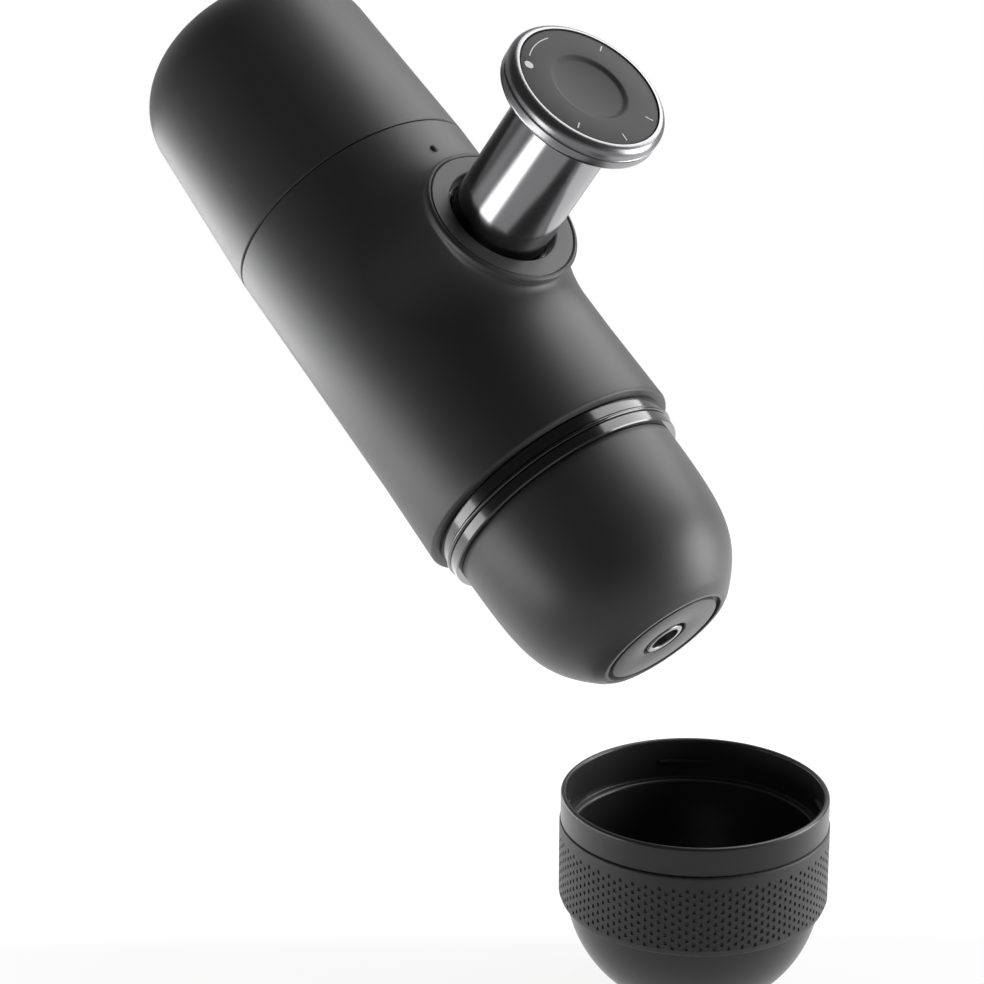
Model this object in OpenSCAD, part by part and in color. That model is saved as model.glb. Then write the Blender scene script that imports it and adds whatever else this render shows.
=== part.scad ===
// Handheld manual espresso maker, held tipped over its cup.
//
// Own frame of the maker: +Z runs from the outlet end to the water tank, +X runs
// out along the piston, and the origin is where the two axes cross.  The module
// in_hand() then tips the maker about Y into its pouring attitude.  The cup
// stands upright below the outlet.  All sizes are in millimetres.

/* [Pouring] */
// Angle of the outlet below the horizontal while the coffee runs out
pour_angle = 39; // [30:1:50]
// Distance of the cup's centre line in front of the piston axis crossing
cup_reach = 79; // [74:0.5:84]
// Depth of the cup's rim below the axis crossing
cup_rim_drop = 88.2; // [86:0.1:100]

/* [Main body] */
// Outer radius of the body and of the tank at its mouth
body_r = 30; // [29:0.5:33]
// Wall of the body shell
body_wall = 2.5; // [2:0.1:3]
// Height of the seam between tank and body above the piston axis
seam_z = 31.9; // [31:0.1:34]
// Depth of the body's lower rim below the piston axis
body_drop = 46.6; // [46:0.1:49]
// Widening of the body's outer radius from below the boss to the lower rim
body_flare = 0.4; // [0.2:0.1:0.6]
// Radius that rounds the body's lower rim
body_lip_r = 0.8; // [0.6:0.1:1.2]
// Height of the small raised index mark above the piston axis
mark_z = 23.5; // [22:0.1:26]
// Radius of the raised index mark
mark_r = 1.1; // [0.6:0.1:1.3]

/* [Piston boss] */
// Outer radius of the boss rim
boss_r = 18; // [17.5:0.1:18.5]
// How far the boss face stands in front of the body's skin
boss_stand = 4.6; // [4:0.1:6]
// Height of the rounded rim of the boss
boss_rim_h = 1.9; // [1.5:0.1:2.4]
// Step from the boss rim in to the neck below it
boss_neck_step = 0.55; // [0.4:0.05:0.8]
// Width over which the boss blends into the body
blend_w = 9; // [7:0.5:10]
// Width of the boss rim outside the ring
boss_rim_w = 1; // [0.8:0.1:1.4]
// Thickness of the face ring
ring_t = 2.8; // [2:0.1:3]
// Gap between the face ring's hole and the piston tube
ring_gap = 1.2; // [0.8:0.1:1.6]
// Length of the bush that guides the piston tube
guide_l = 5.4; // [4:0.1:6]
// Running gap between guide bush and piston tube
guide_gap = 0.12; // [0.08:0.01:0.2]

/* [Piston and knob] */
// Outer radius of the polished piston tube
tube_r = 11.3; // [11:0.05:11.6]
// Wall of the piston tube
tube_wall = 0.7; // [0.6:0.05:0.9]
// Full stroke of the piston
stroke = 33; // [30:0.5:34]
// Outer radius of the knob
knob_r = 18; // [17:0.1:19]
// Height of the knob
knob_h = 6; // [5.5:0.1:7]
// Radius of the disc let into the knob
disc_r = 15.9; // [15:0.1:16.2]
// Thickness of the disc
disc_t = 2.2; // [1.8:0.1:2.6]
// Radius of the dished finger recess in the disc
dish_r = 9.1; // [8:0.1:10]
// Depth of the dished finger recess
dish_d = 1.1; // [0.6:0.1:1.4]
// Radius of the plunger rod
rod_r = 3; // [2.5:0.1:3.5]

/* [Pump] */
// Bore radius of the pump cylinder
pump_bore_r = 7; // [6.6:0.1:7.4]
// Outer radius of the pump cylinder
pump_r = 10.2; // [9.8:0.1:10.2]
// Gap between the cylinder's closed end and the bore of the body behind it
pump_margin = 3.5; // [3.3:0.1:4]
// Room left behind the piston when it is pressed home
pump_spare = 3.1; // [2:0.1:4]
// Thickness of the cylinder's closed end
pump_end_t = 2.4; // [2:0.1:3]
// Radius of the two water ports
port_r = 1.6; // [1.3:0.1:1.8]
// Thickness of the rod guide that closes the cylinder
cap_t = 2; // [1.6:0.1:2.4]
// Height of the piston head
piston_h = 5; // [4.6:0.1:5.4]
// Gap round the piston head
piston_gap = 0.3; // [0.2:0.05:0.4]
// Wire diameter of the return spring
wire_d = 1.2; // [1:0.1:1.3]
// Mean radius of the return spring
spring_r = 7.6; // [7:0.1:8]
// Turns of the return spring
spring_turns = 6; // [5:1:6]
// Half height of the valve block, from the pump's axis to its faces
block_h = 17; // [16.5:0.1:17.5]
// Half width of the valve block
block_w = 13; // [12:0.5:14]
// Length of the cylinder that the valve block holds
socket_l = 9.5; // [9:0.1:9.5]
// Radius of the valve pockets in the block
valve_r = 3.6; // [3:0.1:4]
// Depth of the valve pockets
valve_h = 4.6; // [4:0.1:5]

/* [Chassis and tank mouth] */
// Thickness of the deck under the tank
deck_t = 3; // [2.5:0.1:3.5]
// Wall of the tank's mouth round the spigot
mouth_wall = 3.3; // [3:0.1:3.6]
// Wall of the spigot
spigot_wall = 2.6; // [2.2:0.1:3]
// Length of the spigot above the seam
spigot_over = 7.6; // [6:0.1:9]
// Radius of the two chassis posts
post_r = 3; // [2.6:0.1:3.2]
// Gap between a chassis post and the edge of the deck
post_margin = 2.1; // [1.9:0.1:2.4]
// Thickness of the flat gasket in the tank's mouth
tank_gasket_t = 1.5; // [1.2:0.1:2]

/* [Water tank] */
// Length of the tank from the seam to its flat base
tank_l = 55.4; // [50:0.1:60]
// Wall of the tank
tank_wall = 2.2; // [1.8:0.1:2.4]
// Draw-in of the tank's side by the start of its rounded end
tank_taper = 1.75; // [1:0.05:2.2]
// Radius of the tank's rounded end
tank_round = 17; // [14:0.5:19]

/* [Brew head and neck] */
// Depth of the brew head's top face below the piston axis
brew_top = 25.5; // [25:0.1:26]
// Thickness of the brew head
brew_t = 5.8; // [5.5:0.1:6]
// Thickness of the brew gasket
brew_gasket_t = 1.5; // [1.2:0.1:1.8]
// Thickness of the shower plate
shower_t = 1.2; // [1:0.1:1.3]
// Wall of the neck collar, which fits the body's bore
neck_wall = 2.2; // [2:0.1:2.4]
// How far the glossy neck stands out from the body's bore
neck_proud = 0.8; // [0.6:0.1:1]
// Width of the neck shown below the body's rim
neck_show = 3.1; // [2.5:0.1:4]
// Shadow gap between the neck and the body's rim
neck_gap = 0.4; // [0.3:0.1:0.6]
// Height of the thin bead between neck and outlet head
bead_h = 0.8; // [0.6:0.1:1.2]
// Height of the bead above the neck's surface
bead_proud = 0.5; // [0.3:0.1:0.8]

/* [Filter basket] */
// Width of the flange that carries the filter basket
flange_w = 3.9; // [3.7:0.1:4.6]
// Height of the filter basket
basket_h = 19.5; // [18:0.1:20]
// Sheet thickness of the basket
basket_t = 0.8; // [0.6:0.1:1]
// Gap round the basket's flange in the neck
flange_gap = 0.9; // [0.7:0.1:1.2]
// Radius of a hole in the basket's floor and in the shower plate
sieve_r = 0.6; // [0.4:0.05:0.7]

/* [Outlet head] */
// Width of the glossy band above the outlet head
band_h = 2.6; // [2:0.1:3.2]
// Step from the glossy band in to the dome
dome_step = 1.4; // [1:0.05:1.8]
// Draw-in and length of the pull that keeps the dome's side straight
dome_side = [0.2, 21.6];
// Width and height of the pull that turns the dome in to the flat end
dome_turn = [10.5, 9.3];
// Depth of the outlet head's end face below the piston axis
outlet_drop = 89.6; // [88:0.1:92]
// Radius of the outlet head's flat end
end_r = 15.8; // [14.5:0.1:16.5]
// Outer radius of the ring groove in the end face
groove_r = 14.3; // [13.5:0.1:14.4]
// Width of the ring groove
groove_w = 1.1; // [0.8:0.1:1.4]
// Depth of the ring groove
groove_d = 0.9; // [0.5:0.1:1.2]
// Wall of the outlet head
head_wall = 2.2; // [1.8:0.1:2.4]
// Outer radius of the nozzle
nozzle_r = 4.4; // [4:0.1:4.6]
// Bore radius of the nozzle
nozzle_bore_r = 3.2; // [2.8:0.1:3.4]
// Gap between the nozzle and the hole in the end face
nozzle_gap = 0.9; // [0.6:0.1:1.2]

/* [Cup] */
// Outer radius of the cup's rim
cup_r = 28.4; // [28:0.1:30]
// Height of the cup
cup_h = 46; // [44:0.5:47]
// Height of the plain collar above the sleeve
collar_h = 6.3; // [5:0.1:8]
// Depth of the sleeve's lower edge below the rim
sleeve_drop = 24.4; // [22:0.1:26]
// How far the sleeve stands proud of the collar
sleeve_proud = 0.4; // [0.2:0.05:0.6]
// Thickness of the sleeve
sleeve_t = 1.2; // [1:0.1:1.4]
// Outer radius of the cup's round bowl
bowl_r = 27.3; // [26.5:0.1:27.6]
// Depth of the bowl's centre below the rim
bowl_drop = 20.9; // [19:0.1:22]
// Wall of the cup at its rim
cup_wall = 1.2; // [1:0.1:1.3]
// Depth of the ledge inside the cup below its rim
ledge_drop = 9; // [8:0.1:11]
// Width of the ledge inside the cup
ledge_w = 1.6; // [1:0.1:2]

/* [Hidden] */
$fn = 96;
over = 1;               // how far a cutting tool runs past a face
snug = 0.1;             // gap of a piece seated in its own housing
seal_gap = 0.05;        // gap of a soft seal that the real piece squeezes shut
play = 0.3;             // gap between pieces that move past each other

charcoal = [0.24, 0.24, 0.25];
black = [0.06, 0.06, 0.065];
steel = [0.78, 0.79, 0.8];
slate = [0.36, 0.36, 0.37];
seal_grey = [0.55, 0.57, 0.58];

edge = 0.25;            // small chamfer that shows a seam as a fine line
seam_v = 0.4;           // chamfer on both sides of the tank's seam
bush_wall = 2;          // wall left round the guide bush
cap_plug = 2.2;         // length of the rod guide that plugs into the cylinder
seal_d = 1.5;           // wire diameter of the two round seals
seal_lip = 0.6;         // how far the piston's seal ring is sunk under the piston's skin
slot_w = 1.8;           // width of the piston's seal groove
port_land = 0.6;        // plastic between the water port and the cylinder's end
block_back_t = 2.2;     // valve block behind the cylinder's end
screw_r = 1.2;          // radius of a brew head screw
screw_l = 14;           // length of a screw's shank
screw_head = [2.5, 1.8]; // radius and height of a screw's head
hex_socket = [1.1, 0.9]; // radius and depth of the socket in a screw's head
seat_w = 1.4;           // width of the tank's inner shelf that presses on the gasket
basket_gap = 0.8;       // gap round the basket in the head's collar
sleeve_l = 6.4;         // length of the collar's sleeve inside the dome
rest_w = 0.9;           // width of the rest inside the dome that carries the funnel
funnel_t = 1.5;         // wall of the funnel under the basket
shower_gap = 0.4;       // gap round the shower plate in the gasket
shower_seat = 1.4;      // width of the seat behind the shower plate
shower_pitch = 4.6;     // distance between rings of holes in the shower plate
basket_pitch = 4;       // distance between rings of holes in the basket's floor
floor_t = 2.2;          // thickness of the cup's floor
bowl_wall = 1.9;        // wall of the cup's bowl
tip_rise = 6;           // height of the funnel's tip above the head's end
throat_l = 6;           // length of the nozzle's seat in the funnel
screw_play = 0.05;      // radial gap between a screw's shank and its thread hole

body_bore = body_r - body_wall;
boss_h = body_r + boss_stand;
spigot_r = body_r - mouth_wall - play;
ledge_bore = spigot_r + play;
pump_back = body_bore - pump_margin;
pump_front = -pump_back + pump_end_t + pump_spare + stroke + piston_h + play + cap_plug;
post_y = body_bore - snug - post_margin - post_r;
insert_r = body_bore - snug;
neck_r = body_bore + neck_proud;
neck_bore_r = insert_r - neck_wall;
thread_r = neck_bore_r - play;
basket_flange_r = neck_bore_r - flange_gap;
basket_r = basket_flange_r - flange_w;
dome_r = neck_r - dome_step;

boss_neck_r = boss_r - boss_neck_step;
ring_r = boss_r - boss_rim_w - snug;
ring_hole_r = tube_r + ring_gap;
ring_back = boss_h - ring_t - snug;
guide_r = ring_hole_r + bush_wall;
blend_x0 = boss_h - boss_rim_h;
blend_sink = 0.4;       // how far the blend's outer edge lies under the body's skin
blend_steps = 8;
blend_sides = 72;
flare_top = -boss_neck_r - blend_w;

knob_under = boss_h + play + stroke;
knob_top = knob_under + knob_h;
disc_top = knob_top - snug - snug;
cap_front = pump_front + cap_t;
piston_front = pump_front - cap_plug - play;
piston_face = piston_front - piston_h;
piston_r = pump_bore_r - piston_gap;
port_x = -pump_back + pump_end_t + port_r + port_land;
block_front = -pump_back + socket_l;
block_back = -pump_back - block_back_t;
tube_tail = block_front + stroke + 2 * play;
deck_bottom = block_h;
deck_top = deck_bottom + deck_t;
spigot_top = seam_z + spigot_over;
tank_seat = spigot_top + tank_gasket_t + seal_gap;

brew_bottom = -brew_top - brew_t;
flange_top = brew_bottom - brew_gasket_t;
collar_top = flange_top - basket_t;
screw_end = brew_bottom + snug + screw_head[1] + screw_l;
neck_bottom = -body_drop - neck_show;
band_top = neck_bottom - bead_h;
lip_top = band_top - band_h;
head_bore_r = basket_r + basket_gap;
inner_lip_r = dome_r - head_wall;
shelf_z = lip_top - sleeve_l;
tip_z = -outlet_drop + tip_rise;
throat_z = tip_z + throat_l;

cup_base_z = -cup_rim_drop - cup_h;

// Turns a profile drawn as radius and height about the piston axis
module about_piston() rotate([0, 90, 0]) rotate_extrude() children();

// Tips the maker from its own frame into its pouring attitude
module in_hand() rotate([0, pour_angle - 90, 0]) children();

// Stands a piece drawn on its base at the cup's place
module at_cup() translate([cup_reach, 0, cup_base_z]) children();

// A ring with its lower face at z
module ring(r_out, r_in, h, z = 0)
    translate([0, 0, z]) difference() {
        cylinder(r = r_out, h = h);
        translate([0, 0, -over]) cylinder(r = r_in, h = h + 2 * over);
    }

// Points of an arc about a centre, from one angle to another
function arc(c, r, from, to, n = 12) =
    [for (i = [0:n]) let (a = from + (to - from) * i / n) c + r * [cos(a), sin(a)]];

// ---- main body ----

// Distance of the body's skin from the body axis plane, at a point beside the piston axis
function skin_x(r, s, phi) = sqrt(r * r - pow(s * cos(phi), 2));

// One point of the concave blend: a curve from the boss neck down to the body's skin
function blend_point(v, phi) =
    let (
        s0 = boss_neck_r - edge,
        s2 = boss_neck_r + blend_w,
        x2 = skin_x(body_r - blend_sink, s2, phi),
        slope = -s2 * pow(cos(phi), 2) / x2,
        x1 = min(x2 - slope * (s2 - s0), blend_x0 - edge),
        s = s0 * pow(1 - v, 2) + 2 * v * (1 - v) * s0 + v * v * s2,
        x = blend_x0 * pow(1 - v, 2) + 2 * v * (1 - v) * x1 + v * v * x2
    ) [x, s * cos(phi), s * sin(phi)];

// The blend as a closed band: the concave skin outside, the body's wall inside
module boss_blend() {
    core_r = body_r - body_wall / 2;
    s_in = boss_neck_r - 2;
    s_out = boss_neck_r + blend_w;
    rows = concat(
        [for (k = [0:blend_steps]) [for (i = [0:blend_sides - 1])
            blend_point(k / blend_steps, 360 * i / blend_sides)]],
        [for (s = [s_out, s_in]) [for (i = [0:blend_sides - 1])
            let (phi = 360 * i / blend_sides) [skin_x(core_r, s, phi), s * cos(phi), s * sin(phi)]]],
        [[for (i = [0:blend_sides - 1])
            let (phi = 360 * i / blend_sides) [blend_x0, s_in * cos(phi), s_in * sin(phi)]]]
    );
    n = blend_sides;
    m = len(rows);
    faces = [for (k = [0:m - 1]) for (i = [0:n - 1])
        let (a = k * n + i, b = k * n + (i + 1) % n,
             c = ((k + 1) % m) * n + (i + 1) % n, d = ((k + 1) % m) * n + i)
        each [[a, b, c], [a, c, d]]];
    polyhedron(points = [for (row = rows) each row], faces = faces);
}

// Rim and neck of the boss, as a solid of revolution about the piston axis
module boss_solid() {
    under = 0.7;  // radius that rounds the rim's lower edge
    brow = 0.8;   // radius that rounds the rim's upper edge
    about_piston() polygon(concat(
        [[0, body_r / 2], [boss_neck_r, body_r / 2], [boss_neck_r, blend_x0 - edge]],
        arc([boss_r - under, blend_x0 + under], under, -60, 0, 4),
        arc([boss_r - brow, boss_h - brow], brow, 0, 90, 6),
        [[0, boss_h]]));
}

module main_body() color(charcoal) in_hand()
    difference() {
        union() {
            rotate_extrude() polygon(concat(
                [[0, -body_drop]],
                arc([body_r + body_flare - body_lip_r, -body_drop + body_lip_r], body_lip_r, -90, 0, 8),
                [[body_r, flare_top], [body_r, seam_z - seam_v], [body_r - seam_v, seam_z], [0, seam_z]]));
            boss_solid();
            boss_blend();
            translate([body_r - mark_r / 3, 0, mark_z]) sphere(r = mark_r);
        }
        translate([0, 0, -body_drop - over]) cylinder(r = body_bore, h = body_drop + deck_top + over);
        translate([0, 0, deck_top - over]) cylinder(r = ledge_bore, h = seam_z - deck_top + 2 * over);
        translate([body_r / 2, 0, 0]) rotate([0, 90, 0]) cylinder(r = guide_r + snug, h = body_r);
        translate([ring_back, 0, 0]) rotate([0, 90, 0]) cylinder(r = ring_r + snug, h = ring_t + over);
    }

module boss_ring() color(charcoal) in_hand()
    about_piston() polygon([
        [ring_hole_r, ring_back], [ring_r, ring_back], [ring_r, boss_h - snug - edge],
        [ring_r - edge, boss_h - snug], [ring_hole_r + edge, boss_h - snug],
        [ring_hole_r, boss_h - snug - edge]]);

module tube_guide() color(black) in_hand()
    translate([ring_back - guide_l, 0, 0]) rotate([0, 90, 0])
        ring(guide_r, tube_r + guide_gap, guide_l);

// ---- chassis, valves and pump ----

// Places children at the two chassis posts
module at_posts() for (side = [-1, 1]) translate([0, side * post_y, 0]) children();

module chassis() color(black) in_hand() difference() {
    union() {
        translate([0, 0, deck_bottom]) cylinder(r = body_bore - snug, h = deck_t);
        ring(spigot_r, spigot_r - spigot_wall, spigot_top - deck_top, deck_top);
        at_posts() translate([0, 0, -brew_top]) cylinder(r = post_r, h = brew_top + deck_bottom);
    }
    translate([port_x, 0, deck_bottom - over]) cylinder(r = valve_r, h = deck_t + 2 * over);
    at_posts() translate([0, 0, -brew_top - over]) cylinder(r = screw_r + screw_play, h = over + brew_top + screw_end + play);
}

module tank_strainer() color(steel) in_hand() {
    plug = 1;     // depth of the strainer in the deck's hole
    plate = 0.8;  // thickness of the rim on the deck
    lap = 0.6;    // width of the rim outside the hole
    translate([port_x, 0, deck_top - plug]) difference() {
        union() {
            cylinder(r = valve_r - snug, h = plug);
            translate([0, 0, plug]) cylinder(r = valve_r + lap, h = plate);
        }
        sieve_holes(1, valve_r / 2, plug + plate);
    }
}

module valve_block() color(slate) in_hand() difference() {
    intersection() {
        translate([block_back, -block_w, -block_h])
            cube([block_front - block_back, 2 * block_w, 2 * block_h]);
        translate([0, 0, -block_h - over]) cylinder(r = body_bore - snug, h = 2 * (block_h + over));
    }
    translate([-pump_back, 0, 0]) rotate([0, 90, 0]) cylinder(r = pump_r + snug / 2, h = socket_l + over);
    translate([block_front - seal_d - snug, 0, 0]) rotate([0, 90, 0])
        cylinder(r = pump_r + seal_d, h = seal_d + snug + over);
    translate([port_x, 0, -block_h - over]) cylinder(r = port_r, h = 2 * (block_h + over));
    for (z = [-block_h - over, block_h - valve_h])
        translate([port_x, 0, z]) cylinder(r = valve_r, h = valve_h + over);
}

module pump_cylinder() color(seal_grey) in_hand() difference() {
    translate([-pump_back, 0, 0]) rotate([0, 90, 0]) cylinder(r = pump_r, h = pump_back + pump_front);
    translate([-pump_back + pump_end_t, 0, 0]) rotate([0, 90, 0])
        cylinder(r = pump_bore_r, h = pump_back + pump_front);
    translate([port_x, 0, -pump_r - over]) cylinder(r = port_r, h = 2 * (pump_r + over));
}

module cylinder_seal() color(seal_grey) in_hand()
    translate([block_front - seal_d / 2 - snug, 0, 0]) rotate([0, 90, 0])
        rotate_extrude() translate([pump_r + seal_d / 2, 0]) circle(d = seal_d - snug, $fn = 24);

module rod_guide() color(slate) in_hand() about_piston() polygon([
    [rod_r + snug, pump_front - cap_plug], [pump_bore_r - snug, pump_front - cap_plug],
    [pump_bore_r - snug, pump_front], [pump_r, pump_front], [pump_r, cap_front - edge],
    [pump_r - edge, cap_front], [rod_r + snug, cap_front]]);

// A soft one-way valve: a lipped disc with a stem pad, held in its pocket
module flap_valve() {
    disc = valve_h / 4;
    lip = valve_h / 2.3;
    lap = 0.5;  // how far the valve's lip reaches past the port
    difference() {
        union() {
            cylinder(r = valve_r - snug, h = disc);
            translate([0, 0, disc]) cylinder(r1 = valve_r - 2 * lap, r2 = port_r + lap, h = lip);
        }
        translate([0, 0, -over]) cylinder(r = port_r / 2, h = disc + lip + 2 * over);
    }
}

module inlet_valve() color(seal_grey) in_hand() translate([port_x, 0, block_h]) mirror([0, 0, 1]) flap_valve();

module outlet_valve() color(seal_grey) in_hand() translate([port_x, 0, -block_h]) flap_valve();

// ---- brew head ----

module brew_head() color(slate) in_hand() {
    spread_d = 1.4;  // depth of the water chamber over the shower plate
    chimney = 1;     // wall of the water channel up to the valve block
    difference() {
        union() {
            translate([0, 0, brew_bottom]) cylinder(r = insert_r, h = brew_t);
            translate([port_x, 0, -brew_top]) cylinder(r = valve_r + chimney, h = brew_top - block_h);
        }
        translate([0, 0, brew_bottom - over]) cylinder(r = basket_r - shower_seat - 2 * snug, h = over + spread_d);
        translate([port_x, 0, brew_bottom - over]) cylinder(r = port_r, h = brew_top - block_h + brew_t + 2 * over);
        at_posts() translate([0, 0, brew_bottom - over]) {
            cylinder(r = screw_r + snug, h = brew_t + 2 * over);
            cylinder(r = screw_head[0] + 2 * snug, h = screw_head[1] + 2 * snug + over);
        }
    }
}

module brew_screws() color(steel) in_hand() at_posts() translate([0, 0, brew_bottom + 2 * snug]) {
    difference() {
        cylinder(r = screw_head[0], h = screw_head[1]);
        translate([0, 0, -over]) cylinder(r = hex_socket[0], h = over + hex_socket[1], $fn = 6);
    }
    translate([0, 0, screw_head[1] - snug]) cylinder(r = screw_r, h = screw_l);
}

// Rings of holes through a thin plate
module sieve_holes(rings, pitch, h)
    for (k = [0:rings]) for (i = [0:max(6 * k, 1) - 1])
        rotate(360 * i / max(6 * k, 1)) translate([k * pitch, 0, -over]) cylinder(r = sieve_r, h = h + 2 * over, $fn = 16);

module shower_plate() color(steel) in_hand() translate([0, 0, brew_bottom - shower_t]) difference() {
    cylinder(r = basket_r - shower_gap, h = shower_t);
    sieve_holes(3, shower_pitch, shower_t);
}

module brew_gasket() color(seal_grey) in_hand()
    ring(basket_flange_r, basket_r + 2 * snug, brew_gasket_t, flange_top);

module neck_collar() color(black) in_hand() rotate_extrude() polygon([
    [neck_bore_r, neck_bottom], [neck_r - edge, neck_bottom], [neck_r, neck_bottom + edge],
    [neck_r, -body_drop - neck_gap], [insert_r, -body_drop - neck_gap],
    [insert_r, brew_bottom], [neck_bore_r, brew_bottom]]);

module neck_bead() color(black) in_hand() rotate_extrude() polygon(concat(
    [[neck_bore_r, band_top]],
    arc([neck_r + bead_proud - bead_h / 2, band_top + bead_h / 2], bead_h / 2, -90, 90, 8),
    [[neck_bore_r, neck_bottom]]));

// ---- piston ----

module plunger_rod() color(steel) in_hand() {
    slot_d = seal_lip + seal_d / 2 + seal_gap;
    slot_z = (piston_face + piston_front - slot_w) / 2;
    about_piston() polygon([
        [0, piston_face], [piston_r, piston_face], [piston_r, slot_z], [piston_r - slot_d, slot_z],
        [piston_r - slot_d, slot_z + slot_w], [piston_r, slot_z + slot_w],
        [piston_r, piston_front], [rod_r, piston_front], [rod_r, knob_under], [0, knob_under]]);
}

module piston_seal() color(seal_grey) in_hand() about_piston()
    translate([piston_r - seal_lip, (piston_face + piston_front) / 2]) circle(d = seal_d, $fn = 24);

// Sweeps a round wire along the spring's helix
module return_spring() color(steel) in_hand() {
    steps = 20;
    sides = 6;
    r = wire_d / 2;
    from = cap_front + r;
    length = knob_under - cap_front - 2 * r;
    n = spring_turns * steps;
    points = [for (k = [0:n]) for (i = [0:sides - 1])
        let (a = 360 * k / steps, b = 360 * i / sides, rr = spring_r + r * cos(b))
        [from + length * k / n + r * sin(b), rr * cos(a), rr * sin(a)]];
    skin = [for (k = [0:n - 1]) for (i = [0:sides - 1])
        let (a = k * sides + i, b = k * sides + (i + 1) % sides)
        each [[a, b, b + sides], [a, b + sides, a + sides]]];
    ends = [[for (i = [sides - 1:-1:0]) i], [for (i = [0:sides - 1]) n * sides + i]];
    polyhedron(points = points, faces = concat(skin, ends));
}

module piston_tube() color(steel) in_hand()
    translate([tube_tail, 0, 0]) rotate([0, 90, 0])
        ring(tube_r, tube_r - tube_wall, knob_under - tube_tail);

module knob_rim() color(steel) in_hand() {
    skirt = 1.2;                     // radius that rounds the knob's lower edge
    roll = 1.6;                      // radius of the rolled upper edge
    groove = [0.45, 0.5];            // depth and width of the fine groove round the side
    groove_z = knob_under + knob_h / 2;
    about_piston() polygon(concat(
        [[0, knob_under], [knob_r - 2 * skirt, knob_under]],
        arc([knob_r - skirt, knob_under + skirt], skirt, -90, 0, 5),
        [[knob_r, groove_z - groove[1]], [knob_r - groove[0], groove_z - groove[1] / 2],
         [knob_r - groove[0], groove_z + groove[1] / 2], [knob_r, groove_z + groove[1]]],
        arc([knob_r - roll, knob_top - roll], roll, 0, 90, 8),
        [[disc_r + snug, disc_top], [disc_r + snug, disc_top - disc_t], [0, disc_top - disc_t]]));
}

module knob_disc() color(slate) in_hand() about_piston() {
    sphere_r = (dish_r * dish_r + dish_d * dish_d) / (2 * dish_d);
    half = asin(dish_r / sphere_r);
    polygon(concat(
        [[0, disc_top - disc_t], [disc_r, disc_top - disc_t], [disc_r, disc_top - edge], [disc_r - edge, disc_top]],
        arc([0, disc_top - dish_d + sphere_r], sphere_r, -90 + half, -90, 8)));
}

// ---- tank ----

// Profile of the tank's skin from the seam to its base, drawn in by an inset
function tank_skin(inset) =
    let (
        r_end = body_r - tank_taper,
        z_end = seam_z + tank_l - tank_round,
        c = [r_end - tank_round, z_end]
    ) arc(c, tank_round - inset, 0, 90, 12);

module tank_gasket() color(seal_grey) in_hand()
    ring(spigot_r, spigot_r - spigot_wall, tank_gasket_t, spigot_top);

module water_tank() color(charcoal) in_hand() rotate_extrude() polygon(concat(
    [[ledge_bore, seam_z], [body_r - seam_v, seam_z], [body_r, seam_z + seam_v]],
    tank_skin(0),
    [[0, seam_z + tank_l], [0, seam_z + tank_l - tank_wall]],
    [for (i = [12:-1:0]) tank_skin(tank_wall)[i]],
    [[body_r - tank_wall - play, tank_seat + 2 * seat_w], [spigot_r - seat_w, tank_seat + seat_w],
     [spigot_r - seat_w, tank_seat], [ledge_bore, tank_seat]]));

// ---- outlet end ----

module filter_basket() color(steel) in_hand() difference() {
    union() {
        ring(basket_r, basket_r - basket_t, basket_h - basket_t, collar_top + basket_t - basket_h);
        ring(basket_flange_r, basket_r - basket_t, basket_t, collar_top);
        translate([0, 0, flange_top - basket_h]) cylinder(r = basket_r, h = basket_t);
    }
    translate([0, 0, flange_top - basket_h]) sieve_holes(4, basket_pitch, basket_t);
}

module head_collar() color(black) in_hand() rotate_extrude() polygon([
    [head_bore_r, shelf_z], [inner_lip_r - snug, shelf_z], [inner_lip_r - snug, lip_top], [neck_r - edge, lip_top],
    [neck_r, lip_top + edge], [neck_r, band_top - edge], [neck_r - edge, band_top], [thread_r, band_top],
    [thread_r, collar_top], [head_bore_r, collar_top]]);

// Outer skin of the outlet head from the lip to the flat end
function dome_skin(inset) =
    let (
        a = [dome_r - inset, lip_top],
        b = a - dome_side,
        d = [end_r - inset * 0.3, -outlet_drop + inset],
        c = d + dome_turn - inset * [0.5, 0.3]
    ) [for (i = [0:16]) let (t = i / 16)
        a * pow(1 - t, 3) + 3 * b * t * pow(1 - t, 2) + 3 * c * t * t * (1 - t) + d * pow(t, 3)];

module outlet_head() color(charcoal) in_hand() rotate_extrude() polygon(concat(
    [[inner_lip_r, lip_top]],
    dome_skin(0),
    [[groove_r, -outlet_drop], [groove_r, -outlet_drop + groove_d],
     [groove_r - groove_w, -outlet_drop + groove_d], [groove_r - groove_w, -outlet_drop],
     [nozzle_r + nozzle_gap, -outlet_drop], [nozzle_r + nozzle_gap, -outlet_drop + head_wall]],
    [for (i = [16:-1:4]) dome_skin(head_wall)[i]],
    [[inner_lip_r - rest_w, shelf_z - funnel_t], [inner_lip_r, shelf_z - funnel_t]]));

module outlet_funnel() color(black) in_hand() rotate_extrude() polygon([
    [head_bore_r, shelf_z], [inner_lip_r - snug, shelf_z], [inner_lip_r - snug, shelf_z - funnel_t],
    [head_bore_r - funnel_t / 3, shelf_z - funnel_t], [nozzle_r + funnel_t, throat_z + funnel_t],
    [nozzle_r + funnel_t, tip_z], [nozzle_r, tip_z], [nozzle_r, throat_z], [nozzle_bore_r, throat_z],
    [nozzle_bore_r, throat_z + funnel_t]]);

module nozzle() color(steel) in_hand() rotate_extrude() polygon([
    [nozzle_bore_r, -outlet_drop - snug], [nozzle_r - edge, -outlet_drop - snug],
    [nozzle_r, -outlet_drop - snug + edge], [nozzle_r, throat_z], [nozzle_bore_r, throat_z]]);

// ---- cup ----

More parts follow.
